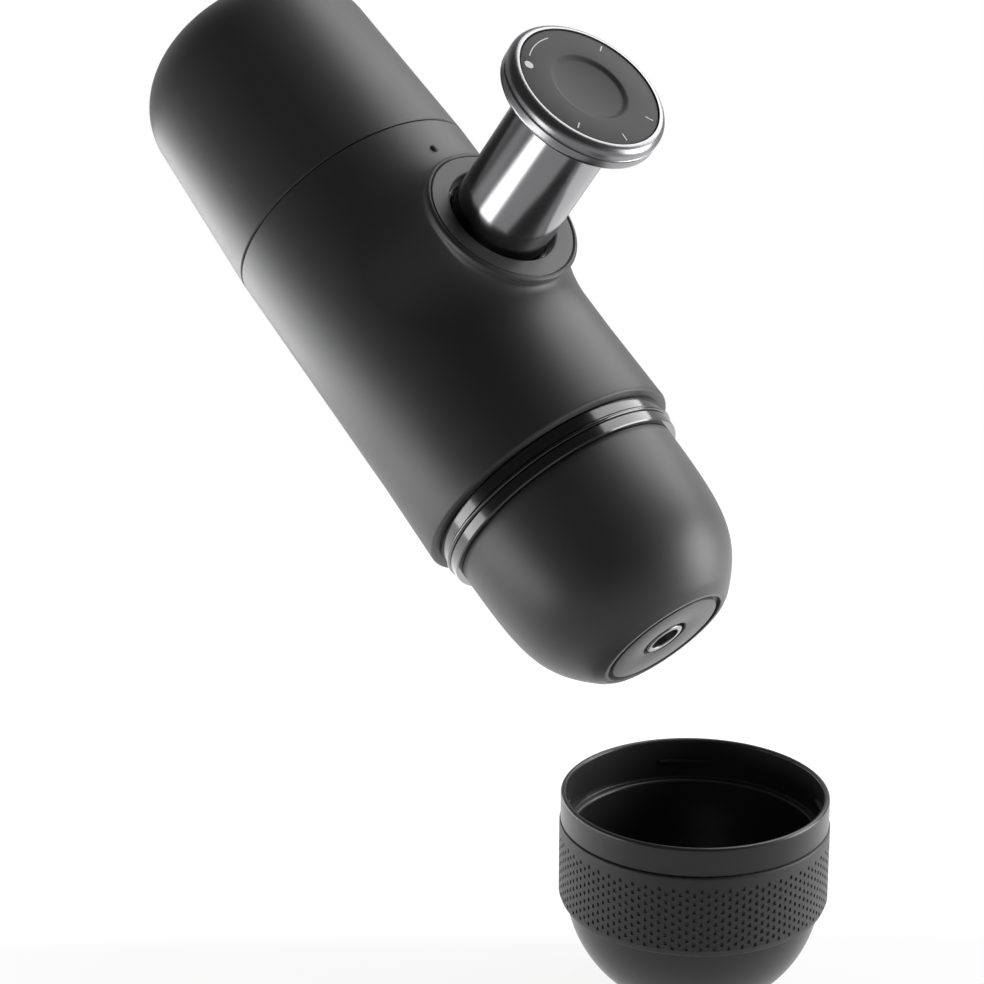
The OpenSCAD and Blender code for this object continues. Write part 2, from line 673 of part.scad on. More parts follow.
// Skin of the cup's round bowl from the base up to a height, drawn in by an inset
function bowl_skin(inset, z_to, z_from) =
    let (
        zc = cup_h - bowl_drop,
        r = bowl_r - inset,
        from = asin((z_from - zc) / r),
        to = asin((z_to - zc) / r)
    ) arc([0, zc], r, from, to, 16);

module cup_shell() color(black) at_cup() rotate_extrude() {
    seat = cup_h - collar_h;
    waist = cup_r + sleeve_proud - sleeve_t;
    inner = cup_r - cup_wall;
    polygon(concat(
        [[0, 0]],
        bowl_skin(0, cup_h - sleeve_drop - 2 * snug, 0),
        [[waist, cup_h - sleeve_drop], [waist, seat], [cup_r, seat]],
        arc([cup_r - cup_wall / 2, cup_h - cup_wall / 2], cup_wall / 2, 0, 180, 6),
        [[inner, cup_h - ledge_drop + ledge_w / 3], [inner - ledge_w * 3 / 4, cup_h - ledge_drop]],
        [for (i = [16:-1:0]) bowl_skin(bowl_wall, cup_h - bowl_drop, floor_t)[i]],
        [[0, floor_t]]));
}

module cup_sleeve() color(black) at_cup() rotate_extrude() {
    r = cup_r + sleeve_proud;
    seat = cup_h - collar_h;
    low = cup_h - sleeve_drop;
    soft = sleeve_t / 3;  // how far the sleeve's lower edge draws in
    polygon([[r - sleeve_t, low], [r - 2 * soft, low], [r - soft / 2, low + 2 * soft], [r, low + 6 * soft],
        [r, seat - soft], [r - soft, seat - snug], [r - sleeve_t, seat - snug]]);
}

main_body();
boss_ring();
tube_guide();
chassis();
tank_strainer();
valve_block();
pump_cylinder();
cylinder_seal();
rod_guide();
inlet_valve();
outlet_valve();
brew_head();
brew_screws();
shower_plate();
brew_gasket();
neck_collar();
neck_bead();
return_spring();
plunger_rod();
piston_seal();
piston_tube();
knob_rim();
knob_disc();
tank_gasket();
water_tank();
filter_basket();
head_collar();
outlet_head();
outlet_funnel();
nozzle();
cup_shell();
cup_sleeve();
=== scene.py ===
"""Handheld manual espresso maker, held tipped over its cup.

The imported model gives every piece's place and size.  This script gives the pieces that show
their finished shapes and surfaces.  Lengths in the classes are in millimetres, in the maker's
own frame: its long axis runs from the outlet up to the water tank, its piston axis crosses it.
"""

import logging
import math
from dataclasses import dataclass, field
from enum import Enum
from typing import Callable, Sequence

import bmesh
import bpy
from mathutils import Matrix, Vector

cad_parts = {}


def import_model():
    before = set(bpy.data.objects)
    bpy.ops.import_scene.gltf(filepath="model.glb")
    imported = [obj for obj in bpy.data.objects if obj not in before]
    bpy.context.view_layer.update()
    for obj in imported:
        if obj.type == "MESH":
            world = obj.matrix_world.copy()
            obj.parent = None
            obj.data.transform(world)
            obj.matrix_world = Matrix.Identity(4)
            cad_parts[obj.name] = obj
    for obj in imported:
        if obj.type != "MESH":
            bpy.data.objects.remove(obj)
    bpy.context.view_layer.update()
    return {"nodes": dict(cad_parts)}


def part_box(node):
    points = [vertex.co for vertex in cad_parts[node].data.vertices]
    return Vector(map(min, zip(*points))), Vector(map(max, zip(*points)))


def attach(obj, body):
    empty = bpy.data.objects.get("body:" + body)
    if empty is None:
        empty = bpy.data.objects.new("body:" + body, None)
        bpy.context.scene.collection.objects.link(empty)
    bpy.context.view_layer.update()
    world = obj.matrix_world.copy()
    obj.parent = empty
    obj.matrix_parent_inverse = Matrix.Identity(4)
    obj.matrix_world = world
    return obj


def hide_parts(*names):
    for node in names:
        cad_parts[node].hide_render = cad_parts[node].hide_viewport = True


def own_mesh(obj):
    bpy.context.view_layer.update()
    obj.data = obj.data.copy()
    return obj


LOG = logging.getLogger("espresso_maker")
MM = 0.001
POUR_ANGLE = 39.0
SMOOTH_ANGLE = math.radians(32)
# How far apart, in metres, points may lie that count as one, and how small a face is dropped.
SAME_POINT = 1e-7
DOUBLE = 2e-7
SPECK = 1e-8
# Turns a piece drawn about Z onto the piston's axis, while the body itself is still upright.
SIDEWAYS = Matrix.Rotation(math.radians(90), 4, "Y")
Point = tuple[float, float]
Pair = tuple[float, float]
Place = tuple[float, float, float]


# ---------------------------------------------------------------- places and edit helpers


class Axis(Enum):
    """The axis that a turned piece is drawn about, before it is put in its place."""

    BODY = "body"
    PISTON = "piston"
    CUP = "cup"

    def place(self) -> Matrix:
        """Returns the matrix that takes a piece drawn about Z to its place in the scene."""
        if self is Axis.BODY:
            return Matrix.Rotation(math.radians(POUR_ANGLE - 90), 4, "Y")
        if self is Axis.PISTON:
            return Matrix.Rotation(math.radians(POUR_ANGLE), 4, "Y")
        low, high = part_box("cup_shell")
        return Matrix.Translation(((low.x + high.x) / 2, (low.y + high.y) / 2, low.z))

    def tilt(self) -> float:
        """Returns the turn about Y, in radians, that stands this axis upright."""
        return -self.place().to_euler().y if self is not Axis.CUP else 0.0


def arc(centre: Point, radius: float, start: float, end: float, steps: int) -> list[Point]:
    """Draws an arc of a profile.

    Args:
        centre: The arc's centre, as radius and height.
        radius: The arc's radius.
        start: The first point's angle in degrees, from the outward direction.
        end: The last point's angle in degrees.
        steps: How many chords the arc has.

    Returns:
        The arc's points in order.
    """
    angles = [math.radians(start + (end - start) * i / steps) for i in range(steps + 1)]
    return [(centre[0] + radius * math.cos(a), centre[1] + radius * math.sin(a)) for a in angles]


def line(start: Point, end: Point, steps: int) -> list[Point]:
    """Returns points evenly spaced from one point of a profile to another."""
    return [
        (start[0] + (end[0] - start[0]) * i / steps, start[1] + (end[1] - start[1]) * i / steps)
        for i in range(steps + 1)
    ]


def to_object_mode() -> None:
    """Leaves edit mode and clears the selection."""
    if bpy.context.object is not None and bpy.context.object.mode != "OBJECT":
        bpy.ops.object.mode_set(mode="OBJECT")
    bpy.ops.object.select_all(action="DESELECT")


def activate(piece: bpy.types.Object) -> None:
    """Makes a piece the only selected and active object."""
    to_object_mode()
    piece.select_set(True)
    bpy.context.view_layer.objects.active = piece


def lathe(name: str, outline: Sequence[Point], sides: int) -> bpy.types.Object:
    """Turns a closed outline about Z, as on a lathe.

    Args:
        name: The new piece's name.
        outline: The outline's corners as radius and height, in order round the section.
        sides: How many facets the turned surface has.

    Returns:
        The turned piece, still at the origin.
    """
    to_object_mode()
    bpy.ops.mesh.primitive_plane_add(size=MM)
    piece = bpy.context.object
    piece.name = piece.data.name = name
    bpy.ops.object.mode_set(mode="EDIT")
    bpy.ops.mesh.select_all(action="SELECT")
    bpy.ops.mesh.merge(type="CENTER")
    closed = [*outline, outline[0]]
    at = Vector((closed[0][0], 0, closed[0][1])) * MM
    bpy.ops.transform.translate(value=at)
    for radius, height in closed[1:]:
        to = Vector((radius, 0, height)) * MM
        if (to - at).length < SAME_POINT:
            continue
        bpy.ops.mesh.extrude_vertices_move(TRANSFORM_OT_translate={"value": to - at})
        at = to
    bpy.ops.mesh.select_all(action="SELECT")
    bpy.ops.mesh.remove_doubles(threshold=SAME_POINT)
    bpy.ops.mesh.select_all(action="SELECT")
    bpy.ops.mesh.spin(steps=sides, angle=2 * math.pi, center=(0, 0, 0), axis=(0, 0, 1))
    seal()
    bpy.ops.object.mode_set(mode="OBJECT")
    return piece


def ring_loft(name: str, rows: Sequence[Callable[[float], Vector]], sides: int) -> bpy.types.Object:
    """Draws a closed band out of a circle, one ring after another.

    Args:
        name: The new piece's name.
        rows: One function of the turn round the band for each ring, in millimetres.
        sides: How many points each ring has.

    Returns:
        The band, whose last ring is joined to its first.
    """
    to_object_mode()
    bpy.ops.mesh.primitive_circle_add(vertices=sides, radius=MM)
    piece = bpy.context.object
    piece.name = piece.data.name = name
    bpy.ops.object.mode_set(mode="EDIT")
    for k, row in enumerate([*rows, rows[0]]):
        if k:
            bpy.ops.mesh.extrude_edges_move(TRANSFORM_OT_translate={"value": (0, 0, 0)})
        mesh = bmesh.from_edit_mesh(piece.data)
        mesh.verts.ensure_lookup_table()
        for i in range(sides):
            mesh.verts[k * sides + i].co = row(2 * math.pi * i / sides) * MM
        bmesh.update_edit_mesh(piece.data)
    seal()
    bpy.ops.object.mode_set(mode="OBJECT")
    return piece


def seal() -> None:
    """Merges the doubles of the mesh in edit mode and points its faces outwards."""
    bpy.ops.mesh.select_all(action="SELECT")
    bpy.ops.mesh.remove_doubles(threshold=DOUBLE)
    bpy.ops.mesh.dissolve_degenerate(threshold=SPECK)
    bpy.ops.mesh.select_all(action="SELECT")
    bpy.ops.mesh.normals_make_consistent(inside=False)


def put(piece: bpy.types.Object, place: Matrix) -> bpy.types.Object:
    """Moves a piece to its place and bakes the move into its mesh."""
    activate(piece)
    piece.matrix_world = place
    bpy.ops.object.transform_apply(location=True, rotation=True, scale=True)
    return piece


def apply_all(piece: bpy.types.Object) -> None:
    """Applies a piece's modifiers in order."""
    activate(piece)
    for modifier in list(piece.modifiers):
        bpy.ops.object.modifier_apply(modifier=modifier.name)


class Work(Enum):
    """What a tool body does to a piece."""

    ADD = "UNION"
    CUT = "DIFFERENCE"


def combine(piece: bpy.types.Object, tool: bpy.types.Object, work: Work) -> bpy.types.Object:
    """Adds a tool body to a piece or cuts it out, and uses it up.

    Args:
        piece: The piece that is kept.
        tool: The body that is added or taken away.
        work: Which of the two is done.

    Returns:
        The piece.
    """
    activate(piece)
    modifier = piece.modifiers.new("combine", "BOOLEAN")
    modifier.object = tool
    modifier.operation = work.value
    modifier.solver = "EXACT"
    apply_all(piece)
    bpy.data.objects.remove(tool)
    return piece


def smooth(piece: bpy.types.Object) -> None:
    """Shades a piece smooth, but for its real edges."""
    activate(piece)
    bpy.ops.object.shade_smooth_by_angle(angle=SMOOTH_ANGLE)


def spun_bar(
    width: float, height: float, place: Point, start: float, turn: float, steps: int
) -> bpy.types.Object:
    """Spins a small upright plate about Z into a curved bar.

    Args:
        width: The bar's width away from the axis.
        height: The bar's height along the axis.
        place: The bar's middle as radius and height.
        start: Where the bar starts, in degrees round the axis.
        turn: How far it runs, in degrees.
        steps: How many facets it has along its length.

    Returns:
        The closed bar.
    """
    to_object_mode()
    bpy.ops.mesh.primitive_plane_add(size=1)
    bar = bpy.context.object
    bar.scale = (width * MM, height * MM, 1)
    bar.rotation_euler = (math.radians(90), 0, 0)
    bpy.ops.object.transform_apply(location=False, rotation=True, scale=True)
    put(bar, Matrix.Rotation(math.radians(start), 4, "Z")
        @ Matrix.Translation(Vector((place[0], 0, place[1])) * MM))
    bpy.ops.object.mode_set(mode="EDIT")
    bpy.ops.mesh.select_all(action="SELECT")
    bpy.ops.mesh.spin(steps=steps, angle=math.radians(turn), center=(0, 0, 0), axis=(0, 0, 1))
    seal()
    bpy.ops.object.mode_set(mode="OBJECT")
    return bar


def join(pieces: Sequence[bpy.types.Object], name: str) -> bpy.types.Object:
    """Joins pieces that are repeated into one, and names it."""
    activate(pieces[0])
    for piece in pieces[1:]:
        piece.select_set(True)
    bpy.ops.object.join()
    joined = bpy.context.object
    joined.name = joined.data.name = name
    return joined


# ---------------------------------------------------------------- finishes


class Grain(Enum):
    """The fine relief of a surface, given by how close it lies along each way."""

    MOULDED = (1.0, 1.0, 1.0)
    TURNED = (0.03, 0.03, 1.0)
    POLISHED = (1.0, 1.0, 0.04)


@dataclass(frozen=True)
class Finish:
    """One surface finish of the maker, made from nodes on object coordinates."""

    name: str
    colour: tuple[float, float, float]
    roughness: float
    metallic: float = 0.0
    coat: float = 0.0
    coat_roughness: float = 0.1
    sheen: float = 0.0
    sheen_roughness: float = 0.5
    grain: Grain = Grain.MOULDED
    grain_size: float = 0.3
    grain_depth: float = 0.01
    grain_detail: float = 3.0
    wear: float = 0.06
    wear_scale: float = 70.0
    wear_detail: float = 5.0
    wear_on_gloss: float = 1.5
    axis: Axis = Axis.BODY
    _made: dict = field(default_factory=dict, compare=False, hash=False, repr=False)

    def material(self) -> bpy.types.Material:
        """Returns the finish's material, made at its first use."""
        if "material" not in self._made:
            self._made["material"] = self._build()
        return self._made["material"]

    def _build(self) -> bpy.types.Material:
        """Builds the node tree: grain in the bump, and slight wear in colour and gloss."""
        material = bpy.data.materials.new(self.name)
        material.use_nodes = True
        nodes, links = material.node_tree.nodes, material.node_tree.links
        shader = nodes["Principled BSDF"]
        shader.inputs["Metallic"].default_value = self.metallic
        shader.inputs["Coat Weight"].default_value = self.coat
        shader.inputs["Coat Roughness"].default_value = self.coat_roughness
        shader.inputs["Sheen Weight"].default_value = self.sheen
        shader.inputs["Sheen Roughness"].default_value = self.sheen_roughness
        where = nodes.new("ShaderNodeTexCoord")
        turn = nodes.new("ShaderNodeMapping")
        turn.inputs["Rotation"].default_value = (0, self.axis.tilt(), 0)
        links.new(where.outputs["Object"], turn.inputs["Vector"])
        stretch = nodes.new("ShaderNodeMapping")
        stretch.inputs["Scale"].default_value = self.grain.value
        links.new(turn.outputs["Vector"], stretch.inputs["Vector"])
        grain = nodes.new("ShaderNodeTexNoise")
        grain.inputs["Scale"].default_value = 1 / (self.grain_size * MM)
        grain.inputs["Detail"].default_value = self.grain_detail
        links.new(stretch.outputs["Vector"], grain.inputs["Vector"])
        bump = nodes.new("ShaderNodeBump")
        bump.inputs["Distance"].default_value = self.grain_depth * MM
        bump.inputs["Strength"].default_value = 1
        links.new(grain.outputs["Fac"], bump.inputs["Height"])
        links.new(bump.outputs["Normal"], shader.inputs["Normal"])
        cloud = nodes.new("ShaderNodeTexNoise")
        cloud.inputs["Scale"].default_value = self.wear_scale
        cloud.inputs["Detail"].default_value = self.wear_detail
        links.new(turn.outputs["Vector"], cloud.inputs["Vector"])
        spread = self.wear_on_gloss * self.wear
        gloss = nodes.new("ShaderNodeMapRange")
        gloss.inputs["To Min"].default_value = self.roughness * (1 - spread)
        gloss.inputs["To Max"].default_value = min(1.0, self.roughness * (1 + spread))
        links.new(cloud.outputs["Fac"], gloss.inputs["Value"])
        links.new(gloss.outputs["Result"], shader.inputs["Roughness"])
        tint = nodes.new("ShaderNodeMix")
        tint.data_type = "RGBA"
        tint.inputs["A"].default_value = (*(c * (1 - self.wear) for c in self.colour), 1)
        tint.inputs["B"].default_value = (*(c * (1 + self.wear) for c in self.colour), 1)
        links.new(cloud.outputs["Fac"], tint.inputs["Factor"])
        links.new(tint.outputs["Result"], shader.inputs["Base Color"])
        return material


BODY_SHELL = Finish(
    "body_soft_touch", (0.048, 0.048, 0.05), 0.45, sheen=0.12, grain_size=0.22, grain_depth=0.012)
TANK_SHELL = Finish(
    "tank_soft_touch", (0.06, 0.06, 0.062), 0.45, sheen=0.12, grain_size=0.22, grain_depth=0.012)
HEAD_SHELL = Finish(
    "head_soft_touch", (0.048, 0.048, 0.05), 0.42, sheen=0.3, grain_size=0.22, grain_depth=0.01)
GLOSS_BLACK = Finish(
    "gloss_black", (0.008, 0.008, 0.009), 0.2, coat=1.0, grain_size=1.5, grain_depth=0.004)
INNER_BLACK = Finish("inner_black", (0.012, 0.012, 0.013), 0.5, grain_size=0.4, grain_depth=0.01)
INNER_GREY = Finish("inner_grey", (0.1, 0.1, 0.105), 0.5, grain_size=0.4, grain_depth=0.01)
PUMP_PLASTIC = Finish("pump_plastic", (0.45, 0.46, 0.47), 0.3, grain_size=0.6, grain_depth=0.006)
POLISHED_STEEL = Finish(
    "polished_steel", (0.34, 0.34, 0.35), 0.17, metallic=1, grain=Grain.POLISHED,
    grain_size=0.25, grain_depth=0.0006, wear=0.08, axis=Axis.PISTON)
KNOB_STEEL = Finish(
    "knob_steel", (0.3, 0.3, 0.31), 0.28, metallic=1, grain=Grain.TURNED,
    grain_size=0.2, grain_depth=0.001, axis=Axis.PISTON)
NOZZLE_STEEL = Finish(
    "nozzle_steel", (0.4, 0.4, 0.41), 0.3, metallic=1, grain_size=0.4, grain_depth=0.001)
PLAIN_STEEL = Finish(
    "plain_steel", (0.55, 0.55, 0.56), 0.3, metallic=1, grain_size=0.3, grain_depth=0.002)
KNOB_PLATE = Finish(
    "knob_plate", (0.035, 0.035, 0.037), 0.6, metallic=0.2, grain=Grain.TURNED,
    grain_size=0.15, grain_depth=0.001, axis=Axis.PISTON)
KNOB_MARK = Finish(
    "knob_mark", (0.75, 0.75, 0.76), 0.5, grain_size=0.3, grain_depth=0.002, axis=Axis.PISTON)
SILICONE = Finish("silicone", (0.3, 0.32, 0.33), 0.45, sheen=0.1, grain_size=0.5, grain_depth=0.008)
CUP_SHELL = Finish(
    "cup_satin_black", (0.03, 0.03, 0.031), 0.34, coat=0.2,
    grain_size=0.3, grain_depth=0.004, axis=Axis.CUP)
SLEEVE_RUBBER = Finish(
    "sleeve_rubber", (0.04, 0.04, 0.041), 0.52, sheen=0.15,
    grain_size=0.3, grain_depth=0.02, axis=Axis.CUP)


def finish_piece(
    piece: bpy.types.Object, finish: Finish, body: str, slot: str, *replaced: str
) -> bpy.types.Object:
    """Dresses a finished piece and hands it to the body that carries it.

    Args:
        piece: The piece, in its place.
        finish: Its finish.
        body: The body that it moves with.
        slot: The record's material slot that it stands for; it is not used.
        replaced: The model's nodes that it stands for.

    Returns:
        The piece.
    """
    smooth(piece)
    piece.data.materials.clear()
    piece.data.materials.append(finish.material())
    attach(piece, body)
    if replaced:
        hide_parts(*replaced)
    LOG.info("%s: %d faces on %s", piece.name, len(piece.data.polygons), body)
    return piece


# ---------------------------------------------------------------- sub-assemblies


@dataclass
class MainBody:
    """The body's shell, with the boss that the piston slides in and out of."""

    radius: float = 30.0
    bore: float = 27.5
    top: float = 31.9
    bottom: float = -46.6
    flare: float = 0.4
    flare_top: float = -26.5
    lip: float = 0.8
    inner_lip: float = 0.6
    seam: float = 0.4
    slot: float = 0.16
    slot_depth: float = 1.4
    boss_radius: float = 18.0
    boss_height: float = 34.6
    boss_rim: float = 1.9
    boss_rim_top: float = 0.8
    boss_rim_under: float = 0.7
    boss_neck: float = 17.45
    boss_root: float = 14.0
    blend_width: float = 9.0
    blend_lap: float = 0.25
    blend_root: float = 2.0
    blend_sink: float = 0.02
    ring_radius: float = 17.0
    ring_depth: float = 2.9
    ring_edge: float = 0.25
    sleeve_bore: float = 14.6
    overcut: float = 5.0
    mark_height: float = 23.5
    mark_radius: float = 1.1

    def build(self) -> None:
        """Makes the shell and hands it over."""
        shell = self._shell()
        for part in (self._blend, self._boss, self._mark):
            combine(shell, part(), Work.ADD)
        for tool in self._bores():
            combine(shell, tool, Work.CUT)
        put(shell, Axis.BODY.place())
        finish_piece(shell, BODY_SHELL, "body", "body_shell", "main_body")

    def _shell(self) -> bpy.types.Object:
        """Turns the plain shell, with a rounded rim at the outlet end and a fine seam at the tank."""
        rim = self.radius + self.flare
        groove = self.radius - self.seam + self.slot
        outline = [
            (self.bore, self.bottom + self.inner_lip),
            *arc((self.bore + self.inner_lip, self.bottom + self.inner_lip), self.inner_lip, 180, 270, 4),
            *arc((rim - self.lip, self.bottom + self.lip), self.lip, -90, 0, 8),
            *line((rim, self.bottom + self.lip), (self.radius, self.flare_top), 8)[1:],
            *line((self.radius, self.flare_top), (self.radius, self.top - self.seam), 28)[1:],
            (groove, self.top - self.slot), (self.radius - self.slot_depth, self.top - self.slot),
            (self.radius - self.slot_depth, self.top), (self.bore, self.top),
        ]
        return lathe("main_body_shell", outline, 200)

    def _skin(self, radius: float, out: float, turn: float) -> float:
        """Returns the body skin's distance along the piston axis, beside that axis."""
        return math.sqrt(radius**2 - (out * math.cos(turn)) ** 2)

    def _blend(self) -> bpy.types.Object:
        """Draws the concave skin ring by ring from the boss's neck down to the body."""
        sides, steps = 144, 16
        near, far = self.boss_neck - self.blend_lap, self.boss_neck + self.blend_width
        high = self.boss_height - self.boss_rim
        core = (self.radius + self.bore) / 2

        def ring(v: float, turn: float) -> Vector:
            """Returns a point of the blend, v running from the neck to the body."""
            low = self._skin(self.radius - self.blend_sink, far, turn)
            slope = -far * math.cos(turn) ** 2 / low
            middle = min(low - slope * (far - near), high - self.blend_lap)
            out = near * (1 - v) ** 2 + 2 * v * (1 - v) * near + v * v * far
            up = high * (1 - v) ** 2 + 2 * v * (1 - v) * middle + v * v * low
            return Vector((up, out * math.cos(turn), out * math.sin(turn)))

        def rooted(out: float, turn: float) -> Vector:
            """Returns a point inside the body's wall, under the blend."""
            return Vector((self._skin(core, out, turn), out * math.cos(turn), out * math.sin(turn)))

        rows: list[Callable[[float], Vector]] = [
            (lambda turn, v=k / steps: ring(v, turn)) for k in range(steps + 1)
        ]
        inside = near - self.blend_root
        rows.append(lambda turn: rooted(far, turn))
        rows.append(lambda turn: rooted(inside, turn))
        rows.append(lambda turn: Vector((high, inside * math.cos(turn), inside * math.sin(turn))))
        return ring_loft("boss_blend", rows, sides)

    def _boss(self) -> bpy.types.Object:
        """Turns the boss's neck and rounded rim."""
        neck_top = self.boss_height - self.boss_rim
        under, over = self.boss_rim_under, self.boss_rim_top
        outline = [
            (0, self.boss_root), (self.boss_neck, self.boss_root),
            (self.boss_neck, neck_top - self.blend_lap),
            *arc((self.boss_radius - under, neck_top + under), under, -60, 0, 6),
            *arc((self.boss_radius - over, self.boss_height - over), over, 0, 90, 10),
            (0, self.boss_height),
        ]
        return put(lathe("boss", outline, 144), SIDEWAYS)

    def _mark(self) -> bpy.types.Object:
        """Makes the small raised index mark between the boss and the tank."""
        to_object_mode()
        bpy.ops.mesh.primitive_uv_sphere_add(segments=24, ring_count=12, radius=self.mark_radius * MM)
        mark = bpy.context.object
        place = Vector((self.radius - self.mark_radius / 3, 0, self.mark_height))
        return put(mark, Matrix.Translation(place * MM))

    def _bores(self) -> list[bpy.types.Object]:
        """Makes the bodies that hollow the shell and open the boss."""
        low, high = self.bottom - self.overcut, self.top + self.overcut
        hollow = lathe("hollow", [(0, low), (self.bore, low), (self.bore, high), (0, high)], 200)
        inside, outside = self.radius / 2, 1.5 * self.radius
        sleeve = lathe("sleeve_bore", [
            (0, inside), (self.sleeve_bore, inside), (self.sleeve_bore, outside), (0, outside)], 96)
        floor, wide = self.boss_height - self.ring_depth, self.ring_radius + self.ring_edge
        over = self.boss_height + self.overcut
        seat = lathe("ring_seat", [
            (0, floor), (self.ring_radius, floor), (self.ring_radius, self.boss_height - self.ring_edge),
            (wide, self.boss_height), (wide, over), (0, over)], 144)
        return [hollow, put(sleeve, SIDEWAYS), put(seat, SIDEWAYS)]


@dataclass
class BossFace:
    """The flat ring let into the boss, and the bush that guides the piston tube."""

    radius: float = 16.9
    hole: float = 12.5
    back: float = 31.7
    face: float = 34.5
    edge: float = 0.25
    round: float = 0.5
    guide_radius: float = 14.5
    guide_bore: float = 11.42
    guide_length: float = 5.4
    guide_lead: float = 0.5

    def build(self) -> None:
        """Makes both rings."""
        ring = lathe("boss_face_ring", [
            (self.hole, self.back), (self.radius, self.back), (self.radius, self.face - self.edge),
            (self.radius - self.edge, self.face),
            *arc((self.hole + self.round, self.face - self.round), self.round, 90, 180, 4)], 144)
        finish_piece(put(ring, Axis.PISTON.place()), BODY_SHELL, "body", "body_shell", "boss_ring")
        low = self.back - self.guide_length
        guide = lathe("piston_guide", [
            (self.guide_bore, low), (self.guide_radius, low), (self.guide_radius, self.back),
            (self.guide_bore + self.guide_lead, self.back),
            (self.guide_bore, self.back - self.guide_lead)], 128)
        finish_piece(put(guide, Axis.PISTON.place()), GLOSS_BLACK, "body", "gloss_black", "tube_guide")


@dataclass
class Piston:
    """The polished tube and the knob on its outer end."""

    tube_radius: float = 11.3
    tube_wall: float = 0.7
    tail: float = 19.1
    tail_round: float = 0.3
    tail_lip: float = 0.4
    under: float = 67.9
    top: float = 73.9
    radius: float = 18.0
    skirt_inset: float = 2.2
    skirt_round: float = 1.4
    groove: float = 0.35
    groove_height: float = 3.0
    roll: float = 1.9
    roll_height: float = 4.1
    disc_radius: float = 15.9
    disc_sink: float = 0.2
    disc_thickness: float = 2.2
    disc_gap: float = 0.12
    disc_lead: float = 0.25
    disc_edge: float = 0.3
    dish_radius: float = 9.1
    dish_depth: float = 1.1
    dish_lip: float = 1.6
    dish_lip_share: float = 0.55
    mark_turn: float = 145.0
    mark_radius: float = 13.9
    mark_height: float = 0.08
    dot_radius: float = 1.0
    tick_turns: tuple[float, ...] = (40.0, 220.0, 265.0, 310.0)
    tick_size: Pair = (1.8, 0.28)
    arc_width: float = 0.22
    arc_gap: float = 12.0
    arc_turn: float = 38.0

    def build(self) -> None:
        """Makes the tube, the knob's rim and its disc with the plain marks."""
        self._tube()
        self._rim()
        self._disc()
        self._marks()

    def _tube(self) -> None:
        """Turns the tube, with its lower edge rolled in a little."""
        inner, curl = self.tube_radius - self.tube_wall, self.tail_round
        tube = lathe("piston_tube_polished", [
            (inner, self.tail), (self.tube_radius - curl, self.tail),
            *arc((self.tube_radius - curl, self.tail + curl), curl, -60, 0, 3),
            *line((self.tube_radius, self.tail + self.tail_lip), (self.tube_radius, self.under), 12)[1:],
            (inner, self.under)], 160)
        put(tube, Axis.PISTON.place())
        finish_piece(tube, POLISHED_STEEL, "knob", "polished_steel", "piston_tube")

    def _rim(self) -> None:
        """Turns the knob's rim: a rounded skirt, a fine groove and a bright rolled edge."""
        floor = self.top - self.disc_sink - self.disc_thickness
        seat, skirt = self.disc_radius + self.disc_gap, self.skirt_round
        rim = lathe("knob_steel_rim", [
            (0, self.under), (self.radius - self.skirt_inset, self.under),
            *arc((self.radius - skirt, self.under + skirt), skirt, -90, 0, 8),
            *arc((self.radius, self.under + self.groove_height), self.groove, -90, -270, 6),
            *arc((self.radius - self.roll, self.under + self.roll_height), self.roll, -8, 90, 12),
            (self.disc_radius + self.disc_lead, self.top), (seat, self.top - self.disc_edge),
            (seat, floor), (0, floor)], 160)
        finish_piece(put(rim, Axis.PISTON.place()), KNOB_STEEL, "knob", "polished_steel", "knob_rim")

    def _disc(self) -> None:
        """Turns the disc, with a soft-edged dish for a thumb."""
        face, edge = self.top - self.disc_sink, self.disc_edge
        lip, share = self.dish_lip, self.dish_lip_share
        dish_flat = self.dish_radius - lip
        disc = lathe("knob_face_disc", [
            (0, face - self.disc_thickness), (self.disc_radius, face - self.disc_thickness),
            (self.disc_radius, face - edge), *arc((self.disc_radius - edge, face - edge), edge, 0, 90, 3),
            *[(dish_flat + lip * (1 - t), face - self.dish_depth * (3 * t * t - 2 * t**3) * share)
              for t in (i / 10 for i in range(11))],
            *[(dish_flat * (1 - t), face - self.dish_depth * (share + (1 - share) * (1 - (1 - t) ** 2)))
              for t in (i / 8 for i in range(1, 9))]], 160)
        finish_piece(put(disc, Axis.PISTON.place()), KNOB_PLATE, "knob", "knob_plate", "knob_disc")

    def _marks(self) -> None:
        """Lays the plain marks on the disc: a dot with an arc to one side, and four ticks."""
        to_object_mode()
        bpy.ops.mesh.primitive_cylinder_add(
            vertices=32, radius=self.dot_radius * MM, depth=self.mark_height * MM)
        pieces = [self._lay(bpy.context.object, self.mark_turn)]
        for turn in self.tick_turns:
            to_object_mode()
            bpy.ops.mesh.primitive_cube_add(size=1)
            tick = bpy.context.object
            tick.scale = Vector((*self.tick_size, self.mark_height)) * MM
            bpy.ops.object.transform_apply(location=False, rotation=False, scale=True)
            pieces.append(self._lay(tick, turn))
        start = self.mark_turn - self.arc_gap + 90
        pieces.append(spun_bar(
            self.arc_width, self.mark_height / 2, (self.mark_radius, self.top - self.disc_sink),
            start, self.arc_turn, 20))
        marks = join(pieces, "knob_marks")
        finish_piece(put(marks, Axis.PISTON.place()), KNOB_MARK, "knob", "knob_plate")

    def _lay(self, mark: bpy.types.Object, turn: float) -> bpy.types.Object:
        """Puts a mark on the disc's face, at an angle from the piston's own left side."""
        angle = math.radians(turn)
        place = Vector((
            -math.sin(angle) * self.mark_radius, math.cos(angle) * self.mark_radius,
            self.top - self.disc_sink))
        return put(mark, Matrix.Translation(place * MM) @ Matrix.Rotation(angle + math.pi / 2, 4, "Z"))


